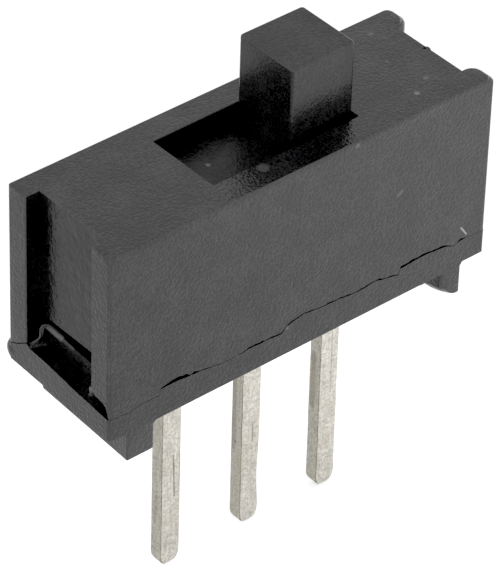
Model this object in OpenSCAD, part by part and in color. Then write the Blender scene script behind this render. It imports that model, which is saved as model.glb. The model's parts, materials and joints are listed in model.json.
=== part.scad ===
// Upright slide switch for a circuit board: one pole, two positions, three terminals in a row.
// The origin is on the middle terminal, in the plane on which the feet stand.
// +X runs along the slide, +Y across it and +Z away from the board. Sizes are in millimetres.

/* [Housing] */
// Length of the housing along the slide
housing_len = 11.6; // [9.7:0.1:14]
// Width of the housing
housing_wid = 3.7; // [3.1:0.1:4.6]
// Height of the housing from its seam with the base to its top
housing_hgt = 4.5; // [3.7:0.1:5.4]
// Thickness of the top wall
top_wall = 0.5; // [0.35:0.05:0.9]
// Thickness of each long side wall
side_wall = 0.5; // [0.35:0.05:0.6]
// Thickness of each end wall, behind its channel
end_wall = 0.5; // [0.35:0.05:0.7]
// Depth of the upright channel in each end
channel_depth = 0.4; // [0.2:0.02:0.5]
// Width of the flange on each side of a channel
flange_wid = 0.65; // [0.5:0.05:0.8]
// Radius of the four upright corners
corner_r = 0.08; // [0.04:0.02:0.2]
// Radius of the flanges' top edge at the right end
end_round_r = 0.1; // [0.05:0.05:0.5]

/* [Slot and lever] */
// How far the slider travels between its two positions
travel = 2.35; // [1.6:0.05:2.9]
// Length of the lever along the slide
lever_len = 1.85; // [1.4:0.05:2.3]
// Width of the lever across the slide
lever_wid = 1.9; // [1.5:0.1:2.2]
// Height of the lever above the housing
lever_hgt = 2.05; // [1.4:0.05:4]
// Radius of the lever's upright edges
lever_edge_r = 0.08; // [0.04:0.02:0.3]
// Free length left in the slot at the end of the travel
slot_end_gap = 0.05; // [0.03:0.01:0.1]
// Gap between the lever and each long side of the slot
slot_side_gap = 0.14; // [0.05:0.01:0.16]
// Free length between the carriage and the end wall at the end of the travel
carriage_end_gap = 0.36; // [0.1:0.02:0.4]
// Thickness of the carriage under the slot
carriage_thk = 0.55; // [0.4:0.05:0.7]
// Thickness of the slider's side runners
runner_thk = 0.25; // [0.2:0.05:0.3]
// Length of the slider's side runners
runner_len = 5; // [4.4:0.1:5.4]

/* [Base] */
// Height of the feet between the board and the base plate
foot_hgt = 0.8; // [0.4:0.05:1.2]
// Thickness of the base plate
plate_thk = 0.8; // [0.6:0.05:1]
// Width of the foot bar at the left end
left_foot_wid = 0.75; // [0.4:0.05:0.9]
// Distance of the left foot bar from the end of the plate
left_foot_inset = 0.6; // [0.1:0.05:0.8]
// Width of the foot bar at the right end
right_foot_wid = 0.6; // [0.4:0.05:0.9]
// Distance of the right foot bar from the end of the plate
right_foot_inset = 0.65; // [0.1:0.05:0.8]
// Radius of the fillet between each foot bar and the plate
foot_fillet = 0.15; // [0.05:0.05:0.3]
// Size of the chamfer under each end of the plate
plate_chamfer = 0.1; // [0.05:0.05:0.2]
// Radius of the bead of moulding flash on the rear left corner of the plate
flash_r = 0.12; // [0.05:0.01:0.2]
// Distance from the top of that bead to the seam
flash_gap = 0.05; // [0.02:0.01:0.3]
// Height of the tray that stands on the plate inside the housing
tray_hgt = 1.35; // [1.2:0.05:1.5]
// Thickness of the tray's floor above the plate
tray_floor = 0.6; // [0.4:0.05:0.7]
// Thickness of the tray's long walls
tray_wall = 0.28; // [0.2:0.02:0.3]
// Thickness of the tray's end walls
tray_end = 0.4; // [0.3:0.05:0.5]

/* [Latches] */
// Height of the housing's sill under each latch window
sill_hgt = 0.4; // [0.3:0.05:0.45]
// Height of each latch window above its sill
window_hgt = 0.6; // [0.55:0.05:0.8]
// Height of a latch
latch_hgt = 0.45; // [0.3:0.05:0.5]
// Gap between a latch and each side of its window
latch_side_gap = 0.25; // [0.05:0.05:0.5]
// How far a latch reaches into the end wall
latch_depth = 0.38; // [0.2:0.02:0.45]
// Height of the flat edge below a latch's slope
latch_land = 0.25; // [0.05:0.05:0.3]

/* [Terminals] */
// Distance from one terminal to the next
pitch = 2.5; // [2.1:0.1:3.2]
// Width of a pin along the row
pin_wid = 0.6; // [0.5:0.05:0.7]
// Thickness of a pin and of its blade
pin_thk = 0.4; // [0.3:0.05:0.48]
// Length of a pin below the plane of the feet
pin_len = 5.8; // [3:0.1:8]
// Size of the coined edges along a pin
pin_edge = 0.06; // [0.02:0.02:0.1]
// Length of the taper at the tip of a pin
tip_len = 0.45; // [0.1:0.05:0.6]
// How much the tip's taper takes off each side of a pin
tip_in = 0.14; // [0.04:0.02:0.14]
// Width of a contact blade along the row
blade_wid = 1.7; // [1.3:0.1:1.8]
// Height of a contact blade above the tray's floor
blade_hgt = 1.2; // [1:0.1:1.4]
// Depth to which a blade is sunk in the base plate
blade_sunk = 0.4; // [0.2:0.05:0.5]

/* [Contact clip] */
// Thickness of the clip's spring sheet
sheet_thk = 0.15; // [0.1:0.01:0.18]
// Width of each of the clip's four fingers
finger_wid = 1; // [0.6:0.1:1.2]
// Length of the web beyond the fingers at each end
web_margin = 0.1; // [0.05:0.05:0.3]
// Gap between each side of the clip and the runner beside it
clip_side_gap = 0.29; // [0.2:0.01:0.4]
// Height of the pinch line above the tray's floor
pinch_hgt = 0.7; // [0.5:0.05:0.9]
// Height of the finger tips above the tray's floor
finger_clear = 0.25; // [0.15:0.05:0.35]
// How far the finger tips flare out below the pinch line
finger_flare = 0.22; // [0.1:0.02:0.3]
// Gap between a finger and its blade at the pinch line
pinch_gap = 0.03; // [0.02:0.01:0.05]
// Height of the ribs that hold the clip in the slider
rib_hgt = 0.6; // [0.4:0.05:0.7]
// Thickness of those ribs
rib_thk = 0.4; // [0.3:0.05:0.5]

/* [Fits] */
// Gap between pieces that are pressed or snapped together
fit_gap = 0.03; // [0.02:0.01:0.05]
// Gap round the pieces that slide
slide_gap = 0.06; // [0.04:0.01:0.1]

/* [Hidden] */
$fn = 48;
// Overshoot of a cut past the face that it opens
cut = 0.5;

// Levels above the board
seam_z = foot_hgt + plate_thk;
top_z = seam_z + housing_hgt;
ceiling_z = top_z - top_wall;
tray_floor_z = seam_z + tray_floor;
tray_top_z = seam_z + tray_hgt;
blade_foot_z = seam_z - blade_sunk;
blade_top_z = tray_floor_z + blade_hgt;
window_z = seam_z + sill_hgt;
carriage_z = ceiling_z - slide_gap - carriage_thk;
// The slider's ribs pass above the blades
rib_low_z = max(carriage_z - rib_hgt, blade_top_z + slide_gap);
lever_top_z = top_z + lever_hgt;

// Plan sizes
inner_len = housing_len - 2 * (channel_depth + end_wall);
inner_wid = housing_wid - 2 * side_wall;
channel_wid = housing_wid - 2 * flange_wid;
slot_len = lever_len + travel + 2 * slot_end_gap;
slot_wid = lever_wid + 2 * slot_side_gap;
carriage_len = inner_len - travel - 2 * carriage_end_gap;
carriage_wid = inner_wid - 2 * slide_gap;
clip_wid = carriage_wid - 2 * (runner_thk + clip_side_gap);
web_len = pitch + finger_wid + 2 * web_margin;
latch_wid = channel_wid - 2 * latch_side_gap;
tray_len = inner_len - 2 * fit_gap;
tray_wid = inner_wid - 2 * fit_gap;

// Place of the slider: at the right end of its travel
slider_x = travel / 2;
// Half width between the clip's fingers at the pinch line
pinch_y = pin_thk / 2 + pinch_gap;

BLACK = [0.2, 0.2, 0.21];
DARK = [0.26, 0.26, 0.27];
TINNED = [0.8, 0.78, 0.74];
BRONZE = [0.78, 0.55, 0.3];

// A box centred on the Z axis that stands on z = bottom
module block(len, wid, bottom, top) {
    translate([-len / 2, -wid / 2, bottom]) cube([len, wid, top - bottom]);
}

// A rectangle with rounded corners, centred on the origin
module rounded(len, wid, radius) {
    for (end = [-1, 1], side = [-1, 1])
        translate([end * (len / 2 - radius), side * (wid / 2 - radius)]) circle(radius);
    square([len - 2 * radius, wid], center = true);
    square([len, wid - 2 * radius], center = true);
}

// The outline of the switch seen from above
module outline() {
    rounded(housing_len, housing_wid, corner_r);
}

// The housing seen from the front, with the top edge rounded at the right end
module front_profile() {
    translate([-housing_len / 2, seam_z]) square([housing_len - end_round_r, housing_hgt]);
    translate([-housing_len / 2, seam_z]) square([housing_len, housing_hgt - end_round_r]);
    translate([housing_len / 2 - end_round_r, top_z - end_round_r]) circle(end_round_r);
}

// The upright channel in each end, open at the top and the bottom
module end_channels() {
    for (end = [-1, 1]) {
        reach = end > 0 ? housing_len / 2 - channel_depth : -housing_len / 2 - cut;
        translate([reach, -channel_wid / 2, seam_z - cut])
            cube([channel_depth + cut, channel_wid, housing_hgt + 2 * cut]);
    }
}

// One window through each end wall, where a latch of the base snaps in
module latch_windows() {
    block(housing_len, channel_wid, window_z, window_z + window_hgt);
}

module housing() {
    color(BLACK) difference() {
        intersection() {
            translate([0, 0, seam_z]) linear_extrude(housing_hgt) outline();
            rotate([90, 0, 0]) linear_extrude(housing_wid, center = true) front_profile();
        }
        block(inner_len, inner_wid, seam_z - cut, ceiling_z);
        block(slot_len, slot_wid, ceiling_z - cut, top_z + cut);
        end_channels();
        latch_windows();
    }
}

// A foot bar across the underside, from x = start, with a fillet against the plate on its inner side
module foot_bar(start, wid, inner_side) {
    rotate([90, 0, 0]) linear_extrude(housing_wid, center = true) {
        translate([start, 0]) square([wid, foot_hgt]);
        fillet_x = inner_side > 0 ? start + wid : start - foot_fillet;
        centre_x = inner_side > 0 ? fillet_x + foot_fillet : fillet_x;
        difference() {
            translate([fillet_x, foot_hgt - foot_fillet]) square(foot_fillet);
            translate([centre_x, foot_hgt - foot_fillet]) circle(foot_fillet);
        }
    }
}

// The plate, with a chamfer under each end
module plate() {
    half = housing_len / 2;
    intersection() {
        translate([0, 0, foot_hgt]) linear_extrude(plate_thk) outline();
        rotate([90, 0, 0]) linear_extrude(housing_wid, center = true) polygon([
            [-half + plate_chamfer, foot_hgt], [half - plate_chamfer, foot_hgt],
            [half, foot_hgt + plate_chamfer], [half, seam_z],
            [-half, seam_z], [-half, foot_hgt + plate_chamfer]]);
    }
}

// The bead of flash on the rear left corner of the plate
module flash() {
    bottom = foot_hgt + plate_chamfer;
    translate([-housing_len / 2, housing_wid / 2, bottom])
        cylinder(h = seam_z - flash_gap - bottom, r = flash_r);
}

// The latch wedge at the right end of the tray
module latch() {
    face = tray_len / 2;
    low = window_z + fit_gap;
    rotate([90, 0, 0]) linear_extrude(latch_wid, center = true) polygon([
        [face - tray_end / 2, low], [face + latch_depth, low], [face + latch_depth, low + latch_land],
        [face, low + latch_hgt], [face - tray_end / 2, low + latch_hgt]]);
}

module tray() {
    difference() {
        block(tray_len, tray_wid, seam_z - blade_sunk / 2, tray_top_z);
        block(tray_len - 2 * tray_end, tray_wid - 2 * tray_wall, tray_floor_z, tray_top_z + cut);
    }
    latch();
    mirror([1, 0, 0]) latch();
}

// Room in the base for the three terminals
module terminal_slots() {
    for (i = [-1:1]) translate([i * pitch, 0, 0]) {
        block(pin_wid + 2 * fit_gap, pin_thk + 2 * fit_gap, foot_hgt - cut, seam_z);
        block(blade_wid + 2 * fit_gap, pin_thk + 2 * fit_gap, blade_foot_z, tray_floor_z + cut);
    }
}

module base() {
    left = -housing_len / 2 + left_foot_inset;
    right = housing_len / 2 - right_foot_inset - right_foot_wid;
    color(DARK) difference() {
        union() {
            plate();
            foot_bar(left, left_foot_wid, 1);
            foot_bar(right, right_foot_wid, -1);
            flash();
            tray();
        }
        terminal_slots();
    }
}

// The carriage fills the slot from below, and its runners stand on the tray's long walls
module carriage() {
    block(carriage_len, carriage_wid, carriage_z, carriage_z + carriage_thk);
    for (side = [-1, 1])
        translate([0, side * (carriage_wid - runner_thk) / 2, 0])
            block(runner_len, runner_thk, tray_top_z + slide_gap, carriage_z);
    for (end = [-1, 1])
        translate([end * (web_len / 2 + fit_gap + rib_thk / 2), 0, 0])
            block(rib_thk, carriage_wid, rib_low_z, carriage_z);
}

module slider() {
    color(BLACK) translate([slider_x, 0, 0]) {
        carriage();
        translate([0, 0, carriage_z])
            linear_extrude(lever_top_z - carriage_z) rounded(lever_len, lever_wid, lever_edge_r);
    }
}

// Section of one side of the clip: a leg that comes in to the pinch line and flares out at its tip
module clip_side(out) {
    mouth_z = tray_floor_z + finger_clear;
    pinch_z = tray_floor_z + pinch_hgt;
    polygon([
        [out * clip_wid / 2, carriage_z], [out * clip_wid / 2, rib_low_z],
        [out * (pinch_y + sheet_thk), pinch_z], [out * (pinch_y + sheet_thk + finger_flare), mouth_z],
        [out * (pinch_y + finger_flare), mouth_z], [out * pinch_y, pinch_z],
        [out * (clip_wid / 2 - sheet_thk), rib_low_z], [out * (clip_wid / 2 - sheet_thk), carriage_z]]);
}

module contact_clip() {
    color(BRONZE) translate([slider_x, 0, 0]) {
        block(web_len, clip_wid, carriage_z - sheet_thk, carriage_z);
        for (finger = [-1, 1], side = [-1, 1])
            translate([finger * pitch / 2 - finger_wid / 2, 0, 0])
                rotate([90, 0, 90]) linear_extrude(finger_wid) clip_side(side);
    }
}

// Outline of a pin whose tip tapers on both sides, width measured along the first axis
module pin_outline(wid) {
    polygon([
        [-wid / 2, blade_foot_z + cut], [-wid / 2, tip_len - pin_len], [-wid / 2 + tip_in, -pin_len],
        [wid / 2 - tip_in, -pin_len], [wid / 2, tip_len - pin_len], [wid / 2, blade_foot_z + cut]]);
}

// A stamped pin with coined edges and a tip tapered on all four sides
module pin() {
    x = pin_wid / 2;
    y = pin_thk / 2;
    intersection() {
        translate([0, 0, -pin_len]) linear_extrude(pin_len + blade_foot_z) polygon([
            [-x, -y + pin_edge], [-x + pin_edge, -y], [x - pin_edge, -y], [x, -y + pin_edge],
            [x, y - pin_edge], [x - pin_edge, y], [-x + pin_edge, y], [-x, y - pin_edge]]);
        rotate([90, 0, 0]) linear_extrude(pin_thk, center = true) pin_outline(pin_wid);
        rotate([90, 0, 90]) linear_extrude(pin_wid, center = true) pin_outline(pin_thk);
    }
}

// One terminal: the pin and, above it, the wider blade that the clip pinches
module terminal(position) {
    color(TINNED) translate([position * pitch, 0, 0]) {
        pin();
        block(blade_wid, pin_thk, blade_foot_z, blade_top_z);
    }
}

module left_terminal() { terminal(-1); }
module centre_terminal() { terminal(0); }
module right_terminal() { terminal(1); }

housing();
base();
slider();
contact_clip();
left_terminal();
centre_terminal();
right_terminal();
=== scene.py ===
import json
import math

import bmesh
import bpy
from mathutils import Matrix, Vector, noise


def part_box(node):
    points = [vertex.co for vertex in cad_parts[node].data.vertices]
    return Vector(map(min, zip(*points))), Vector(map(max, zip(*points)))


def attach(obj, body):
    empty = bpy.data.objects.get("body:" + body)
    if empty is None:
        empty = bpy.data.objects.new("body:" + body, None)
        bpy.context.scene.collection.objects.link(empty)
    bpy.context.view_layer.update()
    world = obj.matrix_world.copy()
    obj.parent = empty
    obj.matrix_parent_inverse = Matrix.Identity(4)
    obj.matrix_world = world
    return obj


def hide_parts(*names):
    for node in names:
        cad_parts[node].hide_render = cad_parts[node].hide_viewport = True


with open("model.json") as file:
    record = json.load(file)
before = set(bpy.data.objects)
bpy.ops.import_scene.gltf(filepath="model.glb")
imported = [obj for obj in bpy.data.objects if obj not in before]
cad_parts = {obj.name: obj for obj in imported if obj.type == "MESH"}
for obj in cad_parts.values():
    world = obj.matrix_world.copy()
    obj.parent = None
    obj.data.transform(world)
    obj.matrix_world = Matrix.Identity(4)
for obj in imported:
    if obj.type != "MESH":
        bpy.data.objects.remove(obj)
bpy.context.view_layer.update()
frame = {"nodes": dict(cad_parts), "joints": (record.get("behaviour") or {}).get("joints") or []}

# The looks of a small upright slide switch. Shapes are made in millimetres, in the frame's own axes:
# +X along the slide, -Y towards the long side that the camera sees, +Z up. The mesh of each piece is
# scaled to metres at the end.
MM = 0.001


def mm_box(node):
    """Lowest and highest corner of a CAD node, in millimetres."""
    low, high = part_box(node)
    return low / MM, high / MM


# ---- Sizes in millimetres ----
# The outer ones come from the frame. The rest repeat part.scad, apart from the roundings and the lever's
# length and place with its slot, which follow the photo closer, and the ribs, which are a little shorter.
HOUSING_LOW, HOUSING_HIGH = mm_box("housing")
SLIDER_LOW, SLIDER_HIGH = mm_box("slider")
TRAVEL = -frame["joints"][0]["range_m"][0] / MM

HALF_LEN = HOUSING_HIGH.x
HALF_WID = HOUSING_HIGH.y
SEAM_Z = HOUSING_LOW.z
TOP_Z = HOUSING_HIGH.z
FIT_GAP = 0.03
SLIDE_GAP = 0.06
SIDE_WALL = 0.5
TOP_WALL = 0.5
END_WALL = 0.5
CHANNEL_DEPTH = 0.4
FLANGE_WID = 0.65
END_ROUND = 0.16
SILL_HGT = 0.4
WINDOW_HGT = 0.6

CEILING_Z = TOP_Z - TOP_WALL
INNER_LEN = 2 * (HALF_LEN - CHANNEL_DEPTH - END_WALL)
INNER_WID = 2 * (HALF_WID - SIDE_WALL)
CHANNEL_WID = 2 * (HALF_WID - FLANGE_WID)
WINDOW_Z = SEAM_Z + SILL_HGT

LEVER_LEN = 1.95
LEVER_WID = 1.9
LEVER_TOP = SLIDER_HIGH.z
SLIDER_X = (SLIDER_LOW.x + SLIDER_HIGH.x) / 2
LEVER_SHIFT = 0.035
LEVER_X = SLIDER_X + LEVER_SHIFT
LEVER_DRAFT = 0.01
LEVER_CORNER = 0.1
LEVER_RIM = 0.05
SLOT_LEFT_GAP = 0.04
SLOT_RIGHT_GAP = 0.05
SLOT_SIDE_GAP = 0.14
SLOT_LEFT = LEVER_X - LEVER_LEN / 2 - TRAVEL - SLOT_LEFT_GAP
SLOT_RIGHT = LEVER_X + LEVER_LEN / 2 + SLOT_RIGHT_GAP
SLOT_WID = LEVER_WID + 2 * SLOT_SIDE_GAP
CARRIAGE_THK = 0.55
CARRIAGE_LEN = SLIDER_HIGH.x - SLIDER_LOW.x
CARRIAGE_WID = SLIDER_HIGH.y - SLIDER_LOW.y
CARRIAGE_Z = CEILING_Z - SLIDE_GAP - CARRIAGE_THK
RUNNER_THK = 0.25
RUNNER_LEN = 5.0
RIB_HGT = 0.6
RIB_THK = 0.4
RIB_X = 2.08
RIB_SHORT = 0.1

FOOT_HGT = 0.8
LEFT_FOOT = (-5.2, -4.45)
RIGHT_FOOT = (4.55, 5.15)
TRAY_LEN = INNER_LEN - 2 * FIT_GAP
TRAY_WID = INNER_WID - 2 * FIT_GAP
TRAY_HGT = 1.35
TRAY_FLOOR_HGT = 0.6
TRAY_TOP = SEAM_Z + TRAY_HGT
TRAY_FLOOR = SEAM_Z + TRAY_FLOOR_HGT
TRAY_WALL = 0.28
TRAY_END = 0.4

PIN_THK = 0.4
PIN_WID = 0.6
BLADE_SUNK = 0.4
BLADE_FOOT = SEAM_Z - BLADE_SUNK

# How far a cutter reaches past the outside of what it cuts, and a small rounding that many edges share.
OVER = 0.3
SOFT_EDGE = 0.03


# ---- Outlines ----
def rounded(corners, steps=5):
    """A closed outline from (u, v, radius) corners, each rounded with an arc of its own radius."""
    outline = []
    count = len(corners)
    for i, (u, v, radius) in enumerate(corners):
        here = Vector((u, v))
        if radius <= 0:
            outline.append(here)
            continue
        back = (Vector(corners[i - 1][:2]) - here).normalized()
        ahead = (Vector(corners[(i + 1) % count][:2]) - here).normalized()
        half = back.angle(ahead) / 2
        reach = radius / math.tan(half)
        centre = here + (back + ahead).normalized() * radius / math.sin(half)
        start = here + back * reach - centre
        turn = start.angle_signed(here + ahead * reach - centre)
        for step in range(steps + 1):
            outline.append(centre + Matrix.Rotation(-turn * step / steps, 2) @ start)
    return outline


def inset(outline, amount):
    """The outline moved inwards by amount, or outwards if it is negative. Outlines run anticlockwise."""
    moved = []
    count = len(outline)
    for i, here in enumerate(outline):
        back = (here - outline[i - 1]).normalized()
        ahead = (outline[(i + 1) % count] - here).normalized()
        normal_back = Vector((-back.y, back.x))
        normal_ahead = Vector((-ahead.y, ahead.x))
        mitre = (normal_back + normal_ahead) / (1 + normal_back.dot(normal_ahead))
        moved.append(here + mitre * amount)
    return moved


def rectangle(u_low, u_high, v_low, v_high, radius=0.0):
    """A rectangle between two places along each of two axes."""
    return rounded([(u_low, v_low, radius), (u_high, v_low, radius),
                    (u_high, v_high, radius), (u_low, v_high, radius)])


def eased(low, high, round_low=0.0, round_high=0.0, steps=4):
    """Levels of a prism, as (height, inset), whose two rims are rounded."""
    levels = []
    for step in range(steps + 1):
        turn = math.pi / 2 * step / steps
        levels.append((low + round_low * (1 - math.cos(turn)), round_low * (1 - math.sin(turn))))
        if not round_low:
            break
    for step in range(steps + 1):
        turn = math.pi / 2 * step / steps
        levels.append((high - round_high * (1 - math.sin(turn)), round_high * (1 - math.cos(turn))))
        if not round_high:
            break
    return levels


# ---- Solids ----
# Where a point (u, v) of an outline lies at a height h, for an outline carried along each axis.
PLACES = {"Z": lambda u, v, h: (u, v, h), "Y": lambda u, v, h: (u, h, v), "X": lambda u, v, h: (h, u, v)}


def skin(rings, loop=False):
    """A closed object through rings of as many points each, capped at both ends or joined in a loop."""
    mesh = bmesh.new()
    made = [[mesh.verts.new(point) for point in ring] for ring in rings]
    count = len(rings[0])
    for low, high in zip(made, made[1:] + made[:1] if loop else made[1:]):
        for i in range(count):
            mesh.faces.new((low[i - 1], low[i], high[i], high[i - 1]))
    if not loop:
        mesh.faces.new(reversed(made[0]))
        mesh.faces.new(made[-1])
    bmesh.ops.recalc_face_normals(mesh, faces=mesh.faces)
    data = bpy.data.meshes.new("solid")
    mesh.to_mesh(data)
    mesh.free()
    solid = bpy.data.objects.new("solid", data)
    bpy.context.scene.collection.objects.link(solid)
    return solid


def prism(outline, levels, axis="Z"):
    """An outline carried along an axis, through levels of (height, inset)."""
    place = PLACES[axis]
    rings = []
    for height, amount in levels:
        ring = inset(outline, amount) if amount else outline
        rings.append([place(point.x, point.y, height) for point in ring])
    return skin(rings)


def box(low, high, edge=0.0):
    """A box whose upright edges and rims are all rounded by edge."""
    outline = rectangle(low[0], high[0], low[1], high[1], edge)
    return prism(outline, eased(low[2], high[2], edge, edge))


LUMP_PACE = 1.7


def lump(centre, reach, seed=0.0, uneven=0.0):
    """An ellipsoid, or an uneven lump, with a reach along each axis."""
    mesh = bmesh.new()
    bmesh.ops.create_icosphere(mesh, subdivisions=4, radius=1)
    for vertex in mesh.verts:
        swell = 1 + uneven * noise.noise(vertex.co * LUMP_PACE + Vector((seed, 0, 0)))
        vertex.co = Vector(centre) + Vector(reach) * vertex.co * swell
    data = bpy.data.meshes.new("lump")
    mesh.to_mesh(data)
    mesh.free()
    made = bpy.data.objects.new("lump", data)
    bpy.context.scene.collection.objects.link(made)
    return made


def combine(body, operation, others):
    """body with the others added or cut away. The others are used up."""
    for other in others:
        step = body.modifiers.new("step", "BOOLEAN")
        step.solver = "MANIFOLD"
        step.operation = operation
        step.object = other
    depsgraph = bpy.context.evaluated_depsgraph_get()
    data = bpy.data.meshes.new_from_object(body.evaluated_get(depsgraph))
    body.modifiers.clear()
    body.data = data
    for other in others:
        bpy.data.objects.remove(other)
    return body


def cut(body, *others):
    """body with the others cut away."""
    return combine(body, "DIFFERENCE", others)


def add(body, *others):
    """body with the others joined to it."""
    return combine(body, "UNION", others)


def recess(place):
    """Whether a place, in millimetres, is inside the channel of either end, or in the window at its foot.
    Faces there get a darker tint, a painted shade.
    """
    behind, short_of_end, slack = 0.2, 0.03, 0.01
    along = HALF_LEN - CHANNEL_DEPTH - behind < abs(place.x) < HALF_LEN - short_of_end
    across = abs(place.y) < CHANNEL_WID / 2 + slack
    return along and across and SEAM_Z + SILL_HGT / 2 < place.z < TOP_Z - RIM - slack


def below_slot(place):
    """Whether a place, in millimetres, is on the slider's carriage."""
    slack = 0.02
    return place.z < CARRIAGE_Z + CARRIAGE_THK + slack


# Edges that turn by more than SHARP stay sharp. Points closer than MERGE, in millimetres, become one.
# A face near the outside, within EDGE_REACH of it, is an outer edge if its normal is less than FLAT
# along every axis.
SHARP = math.radians(40)
MERGE = 0.0005
FLAT = 0.97
EDGE_REACH = 0.12


def finish_piece(piece, name, body, materials, nodes, inner=None, triangles=False):
    """Scale a solid to metres, smooth it and hand it to the frame.

    The materials are those of the flats, the outer edges, made lighter on the mouldings as a painted
    highlight, and, where inner says so, the inner faces, made darker on the housing and the base as a painted
    shade.
    """
    piece.name = name
    mesh = bmesh.new()
    mesh.from_mesh(piece.data)
    if triangles:
        bmesh.ops.triangulate(mesh, faces=mesh.faces)
    bmesh.ops.remove_doubles(mesh, verts=mesh.verts, dist=MERGE)
    bmesh.ops.dissolve_degenerate(mesh, edges=mesh.edges, dist=MERGE)
    for face in mesh.faces:
        face.smooth = True
    for edge in mesh.edges:
        edge.smooth = len(edge.link_faces) == 2 and edge.calc_face_angle(0) < SHARP
    bmesh.ops.scale(mesh, vec=(MM, MM, MM), verts=mesh.verts)
    mesh.to_mesh(piece.data)
    mesh.free()
    piece.data.name = name
    weights = piece.modifiers.new("weighted normals", "WEIGHTED_NORMAL")
    weights.keep_sharp = True
    piece.data.materials.clear()
    for material in materials:
        piece.data.materials.append(material)
    low, high = Vector(piece.bound_box[0]), Vector(piece.bound_box[6])
    for face in piece.data.polygons:
        depth = min(min(face.center - low), min(high - face.center))
        flat = max(abs(part) for part in face.normal) > FLAT
        face.material_index = 0 if flat or depth > EDGE_REACH * MM else 1
        if inner and inner(face.center / MM):
            face.material_index = 2
    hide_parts(*nodes)
    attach(piece, body)
    return piece


# ---- The seam between the housing and the base ----
# It runs anticlockwise round the outside. Each point is (place along the side, height of the base's
# edge, gap up to the housing's edge).
SHUT = 0.004
FRONT_SEAM = [
    (-HALF_LEN, 1.48, SHUT), (-5.2, 1.43, 0.012), (-4.8, 1.50, 0.01), (-4.3, 1.48, 0.01),
    (-4.25, 1.65, 0.03), (-3.8, 1.66, 0.10), (-3.5, 1.62, 0.10), (-3.35, 1.62, 0.02),
    (-3.25, 1.60, 0.08), (-3.1, 1.60, 0.02), (-2.4, 1.50, 0.006), (-1.8, 1.50, 0.012),
    (-1.6, 1.53, 0.04), (-1.2, 1.51, 0.05), (-1.1, 1.52, 0.02), (-0.6, 1.48, 0.03),
    (-0.4, 1.65, 0.03), (0.1, 1.75, 0.02), (0.6, 1.68, 0.015), (1.2, 1.66, 0.025),
    (1.6, 1.60, 0.015), (2.0, 1.60, 0.03), (2.3, 1.65, 0.02), (3.1, 1.48, 0.02),
    (3.15, 1.64, 0.06), (3.9, 1.69, 0.045), (4.6, 1.62, 0.04), (4.9, 1.50, 0.01),
    (5.1, 1.58, 0.06), (5.3, 1.58, SHUT), (HALF_LEN, 1.55, SHUT),
]
RIGHT_SEAM = [
    (-HALF_WID, 1.55, SHUT), (-1.3, 1.57, 0.02), (0.0, 1.60, 0.03), (1.3, 1.60, 0.04), (HALF_WID, 1.58, 0.02),
]
BACK_SEAM = [
    (HALF_LEN, 1.58, 0.02), (4.6, 1.61, 0.03), (3.2, 1.69, 0.06), (3.1, 1.56, 0.02), (1.2, 1.62, 0.02),
    (-0.4, 1.70, 0.04), (-0.5, 1.55, 0.02), (-3.2, 1.64, 0.03), (-4.2, 1.70, 0.05), (-4.3, 1.57, 0.02),
    (-HALF_LEN, 1.53, 0.01),
]
LEFT_SEAM = [
    (HALF_WID, 1.53, 0.01), (1.75, 1.54, 0.02), (1.52, 1.65, 0.03), (1.24, 1.84, 0.03), (1.18, 1.84, 0.02),
    (1.08, 1.78, 0.02), (0.40, 1.73, 0.02), (-0.60, 1.60, 0.02), (-1.05, 1.56, 0.02), (-1.17, 1.56, 0.03),
    (-1.20, 1.55, 0.42), (-1.54, 1.51, 0.40), (-1.68, 1.50, 0.33), (-1.80, 1.49, 0.20),
    (-HALF_WID, 1.48, SHUT),
]
# The length of one step along the seam, how far its height wavers, and by what share its gap does.
SEAM_STEP = 0.06
SEAM_WOBBLE = 0.01
GAP_WOBBLE = 0.35
WOBBLE_PACE = 6
GAP_PACE = 9
# How deep and high the housing's lower edge is worn back, as (place along the front, size), and on the
# other sides. On the front the size is multiplied by WEAR_MEAN plus WEAR_WOBBLE times a noise.
LEAST_WORN = 0.004
WORN_BACK = [
    (-HALF_LEN, LEAST_WORN), (-4.3, LEAST_WORN), (-4.2, 0.01), (-1.3, 0.008), (-0.9, 0.02), (0.3, 0.016),
    (1.3, 0.022), (3.0, 0.020), (3.1, 0.02), (5.0, 0.02), (5.2, LEAST_WORN), (HALF_LEN, LEAST_WORN),
]
WORN_ELSEWHERE = 0.01
WEAR_MEAN = 0.7
WEAR_WOBBLE = 2.2
WEAR_PACE = 5
# How far the seam's cutter goes in past the walls, and its reach below or above the seam. UNWORN stands
# for the wear of the base's edge.
CUTTER_WITHIN = 0.06
CUTTER_BELOW = 1.1
CUTTER_ABOVE = 1.6
UNWORN = 0.001


def seam_stations():
    """Points all round the seam, close together and slightly uneven: (x, y, height, gap)."""
    sides = [(FRONT_SEAM, lambda along: (along, -HALF_WID)),
             (RIGHT_SEAM, lambda along: (HALF_LEN, along)),
             (BACK_SEAM, lambda along: (along, HALF_WID)),
             (LEFT_SEAM, lambda along: (-HALF_LEN, along))]
    stations = []
    for seed, (points, place) in enumerate(sides):
        for (start, low, gap), (end, next_low, next_gap) in zip(points, points[1:]):
            count = max(1, round(abs(end - start) / SEAM_STEP))
            for share in (step / count for step in range(count)):
                along = start + (end - start) * share
                waver = SEAM_WOBBLE * noise.noise(Vector((along * WOBBLE_PACE, seed, 0)))
                height = low + (next_low - low) * share + waver
                width = gap + (next_gap - gap) * share
                if width > SHUT * 2:
                    width *= 1 + GAP_WOBBLE * noise.noise(Vector((along * GAP_PACE, seed, 5)))
                stations.append((*place(along), height, width))
    return stations


def worn_back(x, y):
    """How far the housing's lower edge is worn back at a place on its wall."""
    on_front = y <= -HALF_WID + 0.001
    if not on_front:
        return WORN_ELSEWHERE
    for (start, size), (end, next_size) in zip(WORN_BACK, WORN_BACK[1:]):
        if x <= end:
            uneven = WEAR_MEAN + WEAR_WOBBLE * noise.noise(Vector((x * WEAR_PACE, 2, 0)))
            return max(LEAST_WORN, uneven * (size + (next_size - size) * (x - start) / (end - start)))
    return WORN_ELSEWHERE


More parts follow.
